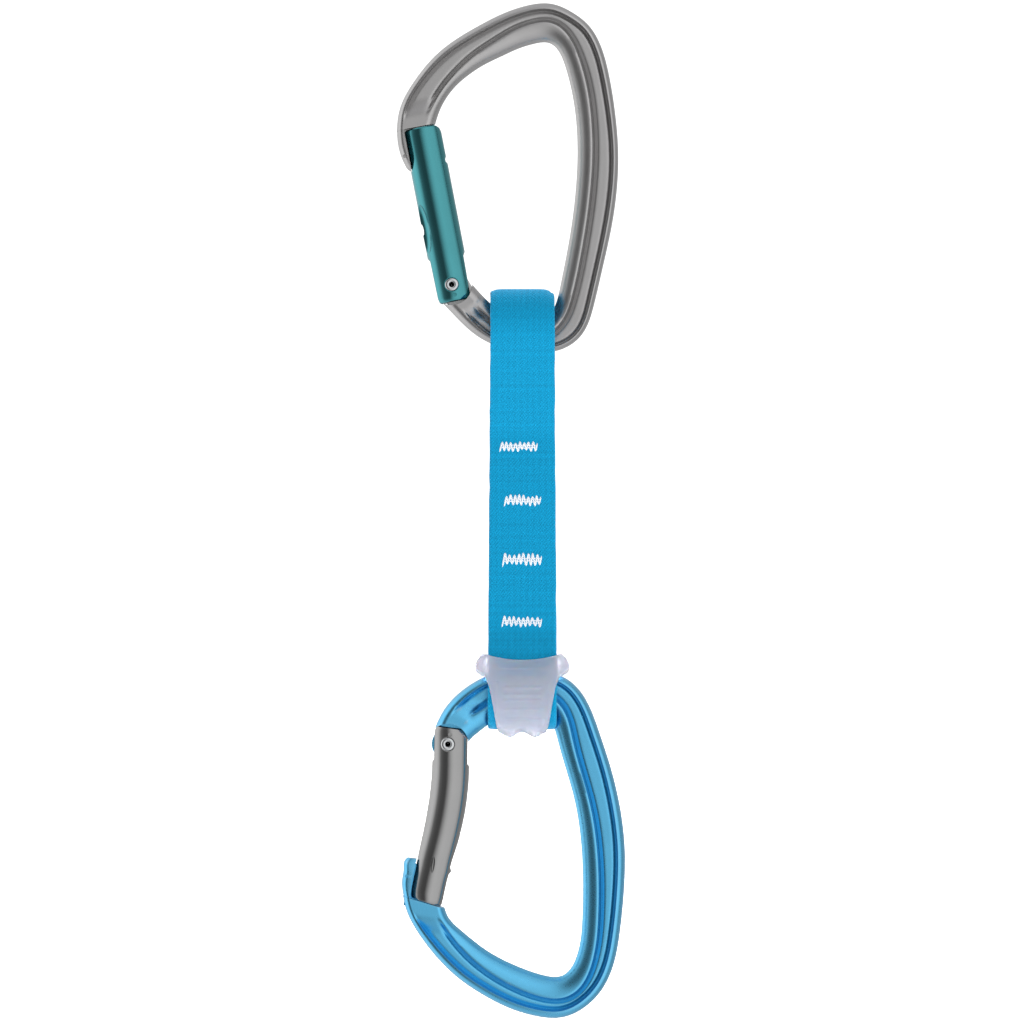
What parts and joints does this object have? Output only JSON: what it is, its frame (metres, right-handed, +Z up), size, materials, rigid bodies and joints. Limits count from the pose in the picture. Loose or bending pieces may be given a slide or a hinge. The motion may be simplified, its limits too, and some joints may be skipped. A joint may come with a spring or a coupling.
{
  "type": "climbing quickdraw",
  "caption": "Climbing quickdraw: straight-gate and bent-gate keylock carabiners joined by a sewn webbing sling, with a rubber keeper on the rope end.",
  "frame": {"origin": "inner top contact of the upper carabiner's basket, in its mid-plane, where a bolt hanger bears", "axes": "+Z up along the hanging quickdraw, +X towards the spines, +Y through the thickness, away from the viewer"},
  "size_m": [0.0628, 0.022, 0.2788],
  "materials": {
    "forged_frame_grey": "satin anodised",
    "forged_frame_blue": "satin anodised",
    "gate_teal": "satin anodised",
    "gate_grey": "satin anodised",
    "rivet_steel": "turned",
    "push_rod_steel": "turned",
    "spring_steel": "drawn wire",
    "webbing": "woven nylon",
    "thread": "bonded thread",
    "keeper_rubber": "translucent moulded"
  },
  "bodies": {
    "upper_carabiner": {"upper_frame": "forged_frame_grey", "upper_gate_rivet": "rivet_steel"},
    "upper_gate": {"upper_gate": "gate_teal", "upper_gate_spring": "spring_steel"},
    "upper_push_rod": {"upper_gate_plunger": "push_rod_steel"},
    "sling_eye": {"sling_upper_eye": "webbing"},
    "sling": {"sling_body": "webbing", "bar_tack_1": "thread", "bar_tack_2": "thread", "bar_tack_3": "thread", "bar_tack_4": "thread", "keeper": "keeper_rubber"},
    "lower_carabiner": {"lower_frame": "forged_frame_blue", "lower_gate_rivet": "rivet_steel"},
    "lower_gate": {"lower_gate": "gate_grey", "lower_gate_spring": "spring_steel"},
    "lower_push_rod": {"lower_gate_plunger": "push_rod_steel"}
  },
  "joints": [
    {"name": "upper_gate_hinge", "type": "hinge", "parent": "upper_carabiner", "child": "upper_gate", "pos_m": [-0.0258, 0, -0.0666], "axis": [0, 1, 0], "range_deg": [0, 30], "stiffness_Nm_per_rad": 0.06, "springref_deg": -28.65},
    {"name": "upper_push_rod_slide", "type": "slide", "parent": "upper_gate", "child": "upper_push_rod", "axis": [-0.1891, 0, 0.982], "range_m": [0, 0.00131], "deforming": ["upper_gate_spring"]},
    {"name": "sling_swing", "type": "hinge", "parent": "upper_carabiner", "child": "sling_eye", "pos_m": [-0.00645, 0, -0.0781], "axis": [1, 0, 0], "range_deg": [-75, 75]},
    {"name": "sling_twist", "type": "hinge", "parent": "sling_eye", "child": "sling", "pos_m": [-0.00645, 0, -0.1075], "axis": [0, 0, 1], "range_deg": [-90, 90], "stiffness_Nm_per_rad": 0.02},
    {"name": "lower_carabiner_swing", "type": "hinge", "parent": "sling", "child": "lower_carabiner", "pos_m": [-0.00645, 0, -0.1792], "axis": [1, 0, 0], "range_deg": [-60, 60]},
    {"name": "lower_gate_hinge", "type": "hinge", "parent": "lower_carabiner", "child": "lower_gate", "pos_m": [-0.02685, 0, -0.1925], "axis": [0, -1, 0], "range_deg": [0, 30], "stiffness_Nm_per_rad": 0.06, "springref_deg": -28.65},
    {"name": "lower_push_rod_slide", "type": "slide", "parent": "lower_gate", "child": "lower_push_rod", "axis": [-0.1409, 0, -0.99], "range_m": [0, 0.00131], "deforming": ["lower_gate_spring"]}
  ],
  "couplings": [
    {"joint": "upper_push_rod_slide", "follows": "upper_gate_hinge", "m_per_rad": 0.002502},
    {"joint": "lower_push_rod_slide", "follows": "lower_gate_hinge", "m_per_rad": 0.002502}
  ]
}
